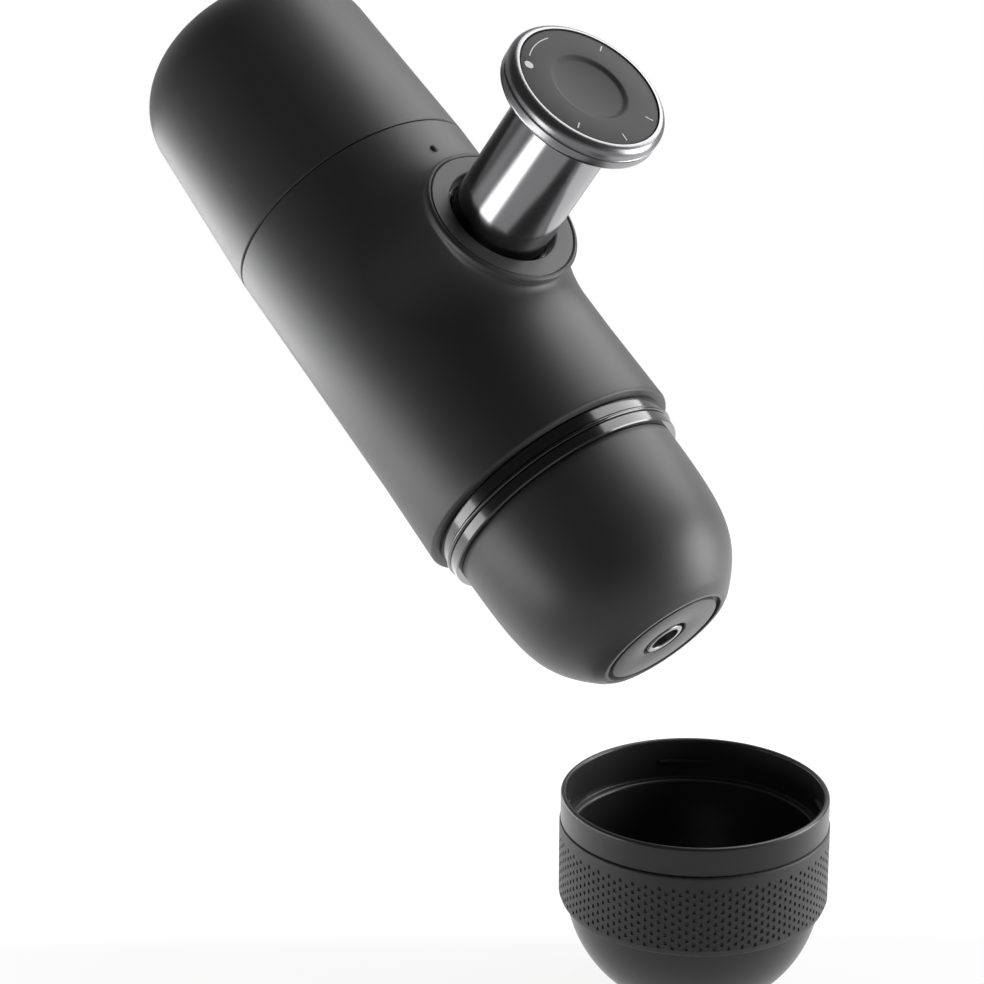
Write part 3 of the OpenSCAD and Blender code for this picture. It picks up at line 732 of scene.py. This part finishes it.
@dataclass
class WaterTank:
    """The tank that screws onto the body's top."""

    radius: float = 30.0
    seam_z: float = 31.9
    length: float = 55.4
    wall: float = 2.2
    draft: float = 0.3
    taper: float = 1.75
    round: float = 17.0
    seam: float = 0.4
    slot: float = 0.16
    slot_depth: float = 1.4
    mouth: float = 26.7
    seat: float = 41.05
    seat_width: float = 1.4

    def build(self) -> None:
        """Turns the tank's shell."""
        end = self.seam_z + self.length
        corner = (self.radius - self.taper - self.round, end - self.round)
        skin = line((self.radius, self.seam_z + self.seam), (self.radius - self.taper, corner[1]), 16)
        inner, ledge = self.radius - self.wall, self.mouth - self.seat_width
        tank = lathe("water_tank_shell", [
            (self.mouth, self.seam_z), (self.radius - self.slot_depth, self.seam_z),
            (self.radius - self.slot_depth, self.seam_z + self.slot),
            (self.radius - self.seam + self.slot, self.seam_z + self.slot), *skin,
            *arc(corner, self.round, 0, 90, 20)[1:], (0, end), (0, end - self.wall),
            *arc(corner, self.round - self.wall, 90, 0, 12),
            (inner - self.draft, self.seat + 2 * self.seat_width), (ledge, self.seat + self.seat_width),
            (ledge, self.seat), (self.mouth, self.seat)], 160)
        finish_piece(put(tank, Axis.BODY.place()), TANK_SHELL, "tank", "tank_shell", "water_tank")


@dataclass
class Neck:
    """The glossy neck, the thin bead under it and the outlet head's glossy collar."""

    radius: float = 28.3
    seat_radius: float = 27.4
    bore: float = 25.2
    top: float = -31.3
    shown: float = -47.0
    bottom: float = -49.7
    bead: float = 0.8
    bead_proud: float = 0.5
    band: float = 2.6
    edge: float = 0.25
    thread_radius: float = 24.9
    collar_bore: float = 21.2
    collar_top: float = -33.6
    inner_lip: float = 24.6
    collar_bottom: float = -59.5

    def build(self) -> None:
        """Makes the three turned rings."""
        neck = lathe("neck_band", [
            (self.bore, self.bottom), (self.radius - self.edge, self.bottom),
            (self.radius, self.bottom + self.edge), (self.radius, self.shown),
            (self.seat_radius, self.shown), (self.seat_radius, self.top), (self.bore, self.top)], 160)
        finish_piece(put(neck, Axis.BODY.place()), GLOSS_BLACK, "body", "gloss_black", "neck_collar")
        middle = self.bottom - self.bead / 2
        bead = lathe("neck_bead_ring", [
            (self.bore, self.bottom - self.bead),
            *arc((self.radius + self.bead_proud - self.bead / 2, middle), self.bead / 2, -90, 90, 8),
            (self.bore, self.bottom)], 160)
        finish_piece(put(bead, Axis.BODY.place()), GLOSS_BLACK, "body", "gloss_black", "neck_bead")
        high = self.bottom - self.bead
        low = high - self.band
        collar = lathe("outlet_collar", [
            (self.collar_bore, self.collar_bottom), (self.inner_lip, self.collar_bottom),
            (self.inner_lip, low), (self.radius - self.edge, low), (self.radius, low + self.edge),
            (self.radius, high - self.edge), (self.radius - self.edge, high), (self.thread_radius, high),
            (self.thread_radius, self.collar_top), (self.collar_bore, self.collar_top)], 160)
        finish_piece(put(collar, Axis.BODY.place()), GLOSS_BLACK, "head", "gloss_black", "head_collar")


@dataclass
class OutletHead:
    """The domed outlet head with its ringed flat end, and the nozzle in the middle."""

    lip_top: float = -53.1
    dome_radius: float = 26.9
    side_pull: Pair = (0.2, 21.6)
    end_pull: Pair = (10.5, 9.3)
    edge: float = 0.3
    end_z: float = -89.6
    end_radius: float = 15.8
    end_round: float = 0.7
    groove_radius: float = 14.3
    groove_width: float = 1.1
    groove_depth: float = 0.9
    groove_edge: float = 0.2
    wall: float = 2.2
    inner_end: float = 0.3
    inner_pull: Pair = (0.5, 0.3)
    shelf: float = -61.0
    shelf_step: float = 0.9
    nozzle_radius: float = 4.4
    nozzle_bore: float = 3.2
    nozzle_gap: float = 0.9
    nozzle_top: float = -77.6
    nozzle_proud: float = 0.1
    nozzle_lead: float = 0.2
    nozzle_round: float = 0.25

    def _skin(self, inset: float, steps: int = 28) -> list[Point]:
        """Returns the dome's profile from the lip to the flat end, drawn in by an inset."""
        a = Vector((self.dome_radius - inset, self.lip_top))
        b = a - Vector(self.side_pull)
        d = Vector((self.end_radius - inset * self.inner_end, self.end_z + inset))
        c = d + Vector(self.end_pull) - inset * Vector(self.inner_pull)
        return [
            tuple(a * (1 - t) ** 3 + 3 * b * t * (1 - t) ** 2 + 3 * c * t * t * (1 - t) + d * t**3)
            for t in (i / steps for i in range(steps + 1))
        ]

    def build(self) -> None:
        """Turns the head and the nozzle."""
        inner_lip = self.dome_radius - self.wall
        hole = self.nozzle_radius + self.nozzle_gap
        end, edge, rim = self.end_z, self.edge, self.end_round
        groove_in, groove_up = self.groove_radius - self.groove_width, end + self.groove_depth
        soft = self.groove_edge
        head = lathe("outlet_head_dome", [
            (inner_lip, self.lip_top),
            *arc((self.dome_radius - edge, self.lip_top - edge), edge, 90, 10, 4),
            *self._skin(0)[1:-1],
            *arc((self.end_radius - rim, end + rim), rim, -40, -90, 4),
            *arc((self.groove_radius + soft, end + soft), soft, 270, 180, 3),
            (self.groove_radius, groove_up), (groove_in, groove_up),
            *arc((groove_in - soft, end + soft), soft, 0, -90, 3),
            *arc((hole + edge, end + edge), edge, 270, 180, 3),
            (hole, end + self.wall),
            *reversed(self._skin(self.wall, 16)[4:]),
            (inner_lip - self.shelf_step, self.shelf), (inner_lip, self.shelf)], 160)
        finish_piece(put(head, Axis.BODY.place()), HEAD_SHELL, "head", "head_shell", "outlet_head")
        low, rim = end - self.nozzle_proud, self.nozzle_round
        nozzle = lathe("outlet_nozzle", [
            (self.nozzle_bore, low + self.nozzle_lead), (self.nozzle_bore + self.nozzle_lead, low),
            *arc((self.nozzle_radius - rim, low + rim), rim, -90, 0, 4),
            (self.nozzle_radius, self.nozzle_top), (self.nozzle_bore, self.nozzle_top)], 96)
        finish_piece(put(nozzle, Axis.BODY.place()), NOZZLE_STEEL, "head", "polished_steel", "nozzle")


@dataclass
class Cup:
    """The cup with its thin rim, thread lugs and dimpled rubber sleeve."""

    radius: float = 28.4
    height: float = 46.0
    collar: float = 6.3
    collar_edge: float = 0.3
    sleeve_drop: float = 24.4
    sleeve_proud: float = 0.25
    sleeve_thickness: float = 1.2
    sleeve_gap_above: float = 0.12
    sleeve_gap_below: float = 0.1
    sleeve_foot: tuple[Pair, ...] = ((0.75, 0.0), (0.45, 0.25), (0.1, 1.6))
    sleeve_land: float = 1.0
    sleeve_round: float = 0.4
    bowl_radius: float = 27.3
    bowl_drop: float = 20.9
    bowl_wall: float = 1.9
    bowl_start: float = 0.5
    bowl_end: float = 0.2
    foot_recess: float = 0.35
    foot_ring: tuple[float, float, float] = (2.4, 1.9, 0.9)
    wall: float = 1.2
    ledge_drop: float = 9.0
    ledge_width: float = 1.6
    ledge_lead: float = 0.9
    ledge_fillet: float = 0.3
    ledge_round: float = 0.6
    floor: float = 2.2
    pit_columns: int = 124
    pit_rows: int = 15
    pit_row_height: float = 0.93
    pit_top_margin: float = 2.5
    pit_depth: float = 0.3
    pit_edge: float = 0.04
    pit_slope: float = 0.12
    pit_reach: float = 0.2
    lugs: int = 4
    lug_size: Pair = (0.7, 0.9)
    lug_sink: float = 0.1
    lug_drop: float = 5.2
    lug_start: float = 58.0
    lug_turn: float = 26.0
    lug_edge: float = 0.18

    def build(self) -> None:
        """Makes the shell, the lugs inside its mouth and the sleeve."""
        self._shell()
        self._lugs()
        self._sleeve()

    def _bowl(self, inset: float, low: float, high: float, steps: int) -> list[Point]:
        """Returns the bowl's profile between two heights."""
        centre, radius = self.height - self.bowl_drop, self.bowl_radius - inset
        angles = [math.degrees(math.asin((z - centre) / radius)) for z in (low, high)]
        return arc((0, centre), radius, angles[0], angles[1], steps)

    def _shell(self) -> None:
        """Turns the cup."""
        seat, low = self.height - self.collar, self.height - self.sleeve_drop
        waist = self.radius + self.sleeve_proud - self.sleeve_thickness
        inner, edge, rim = self.radius - self.wall, self.collar_edge, self.wall / 2
        bowl = self._bowl(0, self.bowl_start, low - self.bowl_end, 24)
        inside, middle, outside = (bowl[0][0] - inset for inset in self.foot_ring)
        ledge, ledge_in = self.height - self.ledge_drop, inner - self.ledge_width + self.ledge_round
        fillet = self.ledge_fillet
        shell = lathe("cup_body", [
            (0, self.foot_recess), (inside, self.foot_recess), (middle, 0), (outside, 0), *bowl,
            (waist, low), (waist, seat), (self.radius - edge, seat), (self.radius, seat + edge),
            *line((self.radius, seat + 2 * edge), (self.radius, self.height - rim), 4)[1:],
            *arc((self.radius - rim, self.height - rim), rim, 0, 180, 10),
            (inner, ledge + self.ledge_lead),
            *arc((inner - fillet, ledge + fillet), fillet, 0, -60, 3), (ledge_in, ledge),
            *arc((ledge_in, ledge - self.ledge_round), self.ledge_round, 90, 180, 4),
            *reversed(self._bowl(self.bowl_wall, self.floor, self.height - self.bowl_drop, 20)),
            (0, self.floor)], 192)
        finish_piece(put(shell, Axis.CUP.place()), CUP_SHELL, "cup", "cup_black", "cup_shell")

    def _lugs(self) -> None:
        """Spins the short thread lugs round the inside of the mouth."""
        place = (self.radius - self.wall - self.lug_sink, self.height - self.lug_drop)
        pieces = []
        for k in range(self.lugs):
            start = self.lug_start + 360 * k / self.lugs
            lug = spun_bar(*self.lug_size, place, start, self.lug_turn, 18)
            activate(lug)
            bpy.ops.object.mode_set(mode="EDIT")
            bpy.ops.mesh.select_all(action="SELECT")
            bpy.ops.mesh.bevel(offset=self.lug_edge * MM, segments=2, affect="EDGES")
            bpy.ops.object.mode_set(mode="OBJECT")
            pieces.append(lug)
        lugs = join(pieces, "cup_thread_lugs")
        finish_piece(put(lugs, Axis.CUP.place()), CUP_SHELL, "cup", "cup_black")

    def _sleeve(self) -> None:
        """Turns the sleeve and sinks its staggered field of round pits."""
        radius = self.radius + self.sleeve_proud
        seat = self.height - self.collar - self.sleeve_gap_above
        low = self.height - self.sleeve_drop + self.sleeve_gap_below
        field_top = seat - self.pit_top_margin
        field_low = field_top - self.pit_rows * self.pit_row_height
        inner, rim = radius - self.sleeve_thickness, self.sleeve_round
        sleeve = lathe("cup_grip_sleeve", [
            (inner, low), *((radius - inset, low + up) for inset, up in self.sleeve_foot),
            *line((radius, field_low), (radius, field_top), self.pit_rows),
            (radius, seat - self.sleeve_land), *arc((radius - rim, seat - rim), rim, 0, 90, 4),
            (inner, seat)], 2 * self.pit_columns)
        self._sink_pits(sleeve, radius, field_low, field_top)
        finish_piece(put(sleeve, Axis.CUP.place()), SLEEVE_RUBBER, "cup", "sleeve_rubber", "cup_sleeve")

    def _sink_pits(self, sleeve: bpy.types.Object, radius: float, low: float, high: float) -> None:
        """Picks one face in four of each row, staggered from row to row, and presses them in."""
        activate(sleeve)
        bpy.ops.object.mode_set(mode="EDIT")
        bpy.ops.mesh.select_mode(type="FACE")
        bpy.ops.mesh.select_all(action="DESELECT")
        mesh = bmesh.from_edit_mesh(sleeve.data)
        step = math.pi / self.pit_columns
        for face in mesh.faces:
            centre = face.calc_center_median() / MM
            away = math.hypot(centre.x, centre.y)
            if not low < centre.z < high or away < radius - self.pit_reach:
                continue
            row = int((centre.z - low) / self.pit_row_height)
            column = int((math.atan2(centre.y, centre.x) % (2 * math.pi)) / step)
            face.select_set(column % 4 == 2 * (row % 2))
        bmesh.update_edit_mesh(sleeve.data)
        bpy.ops.mesh.inset(thickness=self.pit_edge * MM, use_individual=True)
        bpy.ops.mesh.inset(thickness=self.pit_slope * MM, use_individual=True)
        sunk = (radius - self.pit_depth) / radius
        bpy.ops.transform.resize(value=(sunk, sunk, 1), center_override=(0, 0, 0))
        bpy.ops.mesh.select_mode(type="VERT")
        bpy.ops.object.mode_set(mode="OBJECT")


@dataclass
class ReturnSpring:
    """The coil that pushes the knob out again, squeezed as the piston goes home."""

    radius: float = 7.6
    wire: float = 1.2
    wire_sides: int = 14
    turns: int = 6
    steps: int = 40
    foot: float = 24.0
    top: float = 67.9
    stroke: float = 33.0

    def build(self) -> None:
        """Winds the wire into a closed coil and puts it on the piston's axis."""
        to_object_mode()
        bpy.ops.mesh.primitive_circle_add(vertices=self.wire_sides, radius=self.wire / 2 * MM)
        coil = bpy.context.object
        coil.name = coil.data.name = "return_coil"
        length = self.top - self.foot - self.wire
        lift = Matrix.Translation(Vector((self.radius, 0, self.foot + self.wire / 2)) * MM)
        put(coil, lift @ Matrix.Rotation(math.radians(90), 4, "X"))
        winding = coil.modifiers.new("winding", "SCREW")
        winding.axis = "Z"
        winding.iterations = self.turns
        winding.screw_offset = length / self.turns * MM
        winding.steps = winding.render_steps = self.steps
        apply_all(coil)
        bpy.ops.object.mode_set(mode="EDIT")
        bpy.ops.mesh.select_all(action="SELECT")
        bpy.ops.mesh.fill_holes(sides=0)
        seal()
        bpy.ops.object.mode_set(mode="OBJECT")
        put(coil, Axis.PISTON.place())
        finish_piece(coil, PLAIN_STEEL, "body", "plain_steel", "return_spring")
        out = Axis.PISTON.place() @ Vector((0, 0, 1))
        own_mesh(coil)


@dataclass
class Inside:
    """The pieces held inside, which keep the model's own shapes."""

    finishes: dict[str, Finish] = field(default_factory=lambda: {
        "chassis": INNER_BLACK, "outlet_funnel": INNER_BLACK, "valve_block": INNER_GREY,
        "brew_head": INNER_GREY, "rod_guide": INNER_GREY, "pump_cylinder": PUMP_PLASTIC,
        "plunger_rod": PLAIN_STEEL, "brew_screws": PLAIN_STEEL,
        "tank_strainer": PLAIN_STEEL, "shower_plate": PLAIN_STEEL, "filter_basket": PLAIN_STEEL,
        "cylinder_seal": SILICONE, "inlet_valve": SILICONE, "outlet_valve": SILICONE,
        "brew_gasket": SILICONE, "piston_seal": SILICONE, "tank_gasket": SILICONE})

    def dress(self, nodes: dict[str, bpy.types.Object]) -> None:
        """Gives each inner piece its finish.

        Args:
            nodes: The model's nodes by name.
        """
        for name, finish in self.finishes.items():
            nodes[name].data.materials.clear()
            nodes[name].data.materials.append(finish.material())


# ---------------------------------------------------------------- setting


@dataclass(frozen=True)
class Softbox:
    """A soft area light in millimetres, whose glow of 1 is as bright as the white background."""

    name: str
    place: Place
    aim: Place
    size: Pair
    glow: float

    def hang(self) -> None:
        """Puts the light in its place, facing its aim."""
        bpy.ops.object.light_add(type="AREA", location=Vector(self.place) * MM)
        lamp = bpy.context.object
        lamp.name = self.name
        lamp.data.shape = "RECTANGLE"
        lamp.data.size, lamp.data.size_y = self.size[0] * MM, self.size[1] * MM
        lamp.data.energy = self.glow * math.pi * lamp.data.size * lamp.data.size_y
        way = Vector(self.aim) - Vector(self.place)
        lamp.rotation_euler = way.to_track_quat("-Z", "Y").to_euler()


@dataclass
class ShaderTree:
    """A node tree with short ways to add the nodes that the setting uses."""

    tree: bpy.types.NodeTree

    def add(self, kind: str) -> bpy.types.Node:
        """Adds a node."""
        return self.tree.nodes.new(kind)

    def link(self, source: bpy.types.NodeSocket, target: bpy.types.NodeSocket) -> None:
        """Links two sockets."""
        self.tree.links.new(source, target)

    def against(
        self, operation: str, source: bpy.types.NodeSocket, vector: Sequence[float]
    ) -> bpy.types.NodeSocket:
        """Sets a vector against a fixed one.

        Args:
            operation: DISTANCE or DOT_PRODUCT.
            source: The vector.
            vector: The fixed one.

        Returns:
            The number that comes out.
        """
        node = self.add("ShaderNodeVectorMath")
        node.operation = operation
        node.inputs[1].default_value = vector
        self.link(source, node.inputs[0])
        return node.outputs["Value"]

    def fade(self, source: bpy.types.NodeSocket, span: Pair, ends: Pair) -> bpy.types.NodeSocket:
        """Fades softly from one number to another.

        Args:
            source: What the fade follows.
            span: Where the fade starts and ends.
            ends: The numbers before and after it.

        Returns:
            The faded number.
        """
        node = self.add("ShaderNodeMapRange")
        node.interpolation_type = "SMOOTHSTEP"
        node.inputs["From Min"].default_value, node.inputs["From Max"].default_value = span
        node.inputs["To Min"].default_value, node.inputs["To Max"].default_value = ends
        self.link(source, node.inputs["Value"])
        return node.outputs["Result"]

    def reckon(
        self, operation: str, first: bpy.types.NodeSocket, second: bpy.types.NodeSocket
    ) -> bpy.types.NodeSocket:
        """Returns two numbers multiplied, or the larger of them."""
        node = self.add("ShaderNodeMath")
        node.operation = operation
        self.link(first, node.inputs[0])
        self.link(second, node.inputs[1])
        return node.outputs["Value"]

    def mix(
        self, share: bpy.types.NodeSocket, first: bpy.types.NodeSocket, second: bpy.types.NodeSocket
    ) -> bpy.types.NodeSocket:
        """Returns the mix of two shaders, a share of 1 being the second alone."""
        node = self.add("ShaderNodeMixShader")
        self.link(share, node.inputs["Fac"])
        self.link(first, node.inputs[1])
        self.link(second, node.inputs[2])
        return node.outputs["Shader"]


@dataclass
class Studio:
    """The camera, the lights and the plain pale floor; the floor's sizes are in metres."""

    place: Place = (422.6, -404.3, 153.2)
    elevation: float = 18.3
    heading: float = 45.0
    lens: float = 100.0
    film_width: float = 36.0
    near_clip: float = 0.01
    room_behind: float = 0.45
    room_front: float = 0.06
    room_span: Pair = (-0.9, -0.1)
    floor_size: float = 6.0
    floor_drop: float = 0.0002
    floor_colour: float = 0.92
    floor_roughness: float = 0.8
    floor_near: float = 0.9
    floor_near_span: Pair = (0.03, 0.3)
    floor_behind: float = 1.2
    floor_front: float = 0.5
    floor_front_span: Pair = (-0.04, 0.08)
    floor_far: float = 0.4
    floor_far_span: Pair = (0.25, 0.6)
    softboxes: tuple[Softbox, ...] = (
        Softbox("overhead_softbox", (58, 336, 316), (0, 0, -20), (420, 420), 3.2),
        Softbox("left_floor_softbox", (-235, -60, -128), (0, 0, -20), (260, 200), 4.2),
        Softbox("right_softbox", (330, 300, -20), (0, 0, -20), (250, 300), 7.0),
        Softbox("front_left_softbox", (-66, -206, -126), (30, 0, 20), (190, 170), 3.6))

    def build(self) -> None:
        """Sets the camera, the world, the floor and the lights."""
        self._camera()
        self._world()
        self._floor()
        for softbox in self.softboxes:
            softbox.hang()

    def _toward(self) -> Vector:
        """Returns the direction from the maker to the camera."""
        return Vector(self.place).normalized()

    def _camera(self) -> None:
        """Places the camera at the photograph's viewing angle."""
        bpy.ops.object.camera_add(
            location=Vector(self.place) * MM,
            rotation=(math.radians(90 - self.elevation), 0, math.radians(self.heading)))
        camera = bpy.context.object
        camera.data.lens = self.lens
        camera.data.sensor_width = self.film_width
        camera.data.clip_start = self.near_clip
        bpy.context.scene.camera = camera

    def _world(self) -> None:
        """Makes a room that is pale on the maker's far side and dark on its near side."""
        world = bpy.data.worlds.new("studio_world")
        bpy.context.scene.world = world
        world.use_nodes = True
        nodes, tree = world.node_tree.nodes, ShaderTree(world.node_tree)
        room = nodes["Background"]
        room.inputs["Color"].default_value = (1, 1, 1, 1)
        way = tree.add("ShaderNodeTexCoord").outputs["Generated"]
        facing = tree.against("DOT_PRODUCT", way, self._toward())
        strength = tree.fade(facing, self.room_span, (self.room_behind, self.room_front))
        tree.link(strength, room.inputs["Strength"])
        white = tree.add("ShaderNodeBackground")
        white.inputs["Color"].default_value = (1, 1, 1, 1)
        white.inputs["Strength"].default_value = 1.0
        seen = tree.add("ShaderNodeLightPath").outputs["Is Camera Ray"]
        mixed = tree.mix(seen, room.outputs["Background"], white.outputs["Background"])
        tree.link(mixed, nodes["World Output"].inputs["Surface"])

    def _floor(self) -> None:
        """Lays the pale floor that the cup stands on: white further off, with a soft shadow near it."""
        to_object_mode()
        low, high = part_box("cup_shell")
        bpy.ops.mesh.primitive_plane_add(
            size=self.floor_size, location=(0, 0, low.z - self.floor_drop))
        floor = bpy.context.object
        floor.name = "floor"
        bpy.ops.object.transform_apply(location=True, rotation=False, scale=False)
        floor.data.materials.append(self._floor_finish(((low.x + high.x) / 2, 0, low.z)))

    def _floor_finish(self, centre: Sequence[float]) -> bpy.types.Material:
        """Makes the floor's finish, which glows to the camera and in the pieces' gloss.

        Args:
            centre: Where the cup stands, in metres.

        Returns:
            The finish.
        """
        material = bpy.data.materials.new("pale_floor")
        material.use_nodes = True
        nodes, tree = material.node_tree.nodes, ShaderTree(material.node_tree)
        shader = nodes["Principled BSDF"]
        shader.inputs["Base Color"].default_value = (*[self.floor_colour] * 3, 1)
        shader.inputs["Roughness"].default_value = self.floor_roughness
        where = tree.add("ShaderNodeTexCoord").outputs["Object"]
        ray = tree.add("ShaderNodeLightPath")
        away = tree.against("DISTANCE", where, centre)
        front = tree.against("DOT_PRODUCT", where, self._toward())
        side = tree.fade(front, self.floor_front_span, (self.floor_behind, self.floor_front))
        far = tree.fade(away, self.floor_far_span, (1.0, self.floor_far))
        mirrored = tree.reckon("MULTIPLY", side, far)
        glow = tree.add("ShaderNodeEmission")
        strength = tree.reckon("MAXIMUM", mirrored, ray.outputs["Is Camera Ray"])
        tree.link(strength, glow.inputs["Strength"])
        near = tree.fade(away, self.floor_near_span, (self.floor_near, 1.0))
        seen = tree.reckon("MULTIPLY", ray.outputs["Is Camera Ray"], near)
        share = tree.reckon("MAXIMUM", seen, ray.outputs["Is Glossy Ray"])
        mixed = tree.mix(share, shader.outputs["BSDF"], glow.outputs["Emission"])
        tree.link(mixed, nodes["Material Output"].inputs["Surface"])
        return material


def main() -> None:
    """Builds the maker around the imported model."""
    logging.basicConfig(level=logging.INFO, format="%(message)s")
    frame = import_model()
    bpy.context.scene.view_settings.view_transform = "Standard"
    Studio().build()
    assemblies = (
        MainBody(), BossFace(), Piston(), WaterTank(), Neck(), OutletHead(), Cup(), ReturnSpring())
    for assembly in assemblies:
        assembly.build()
    Inside().dress(frame["nodes"])
    to_object_mode()


if __name__ == "__main__":
    main()
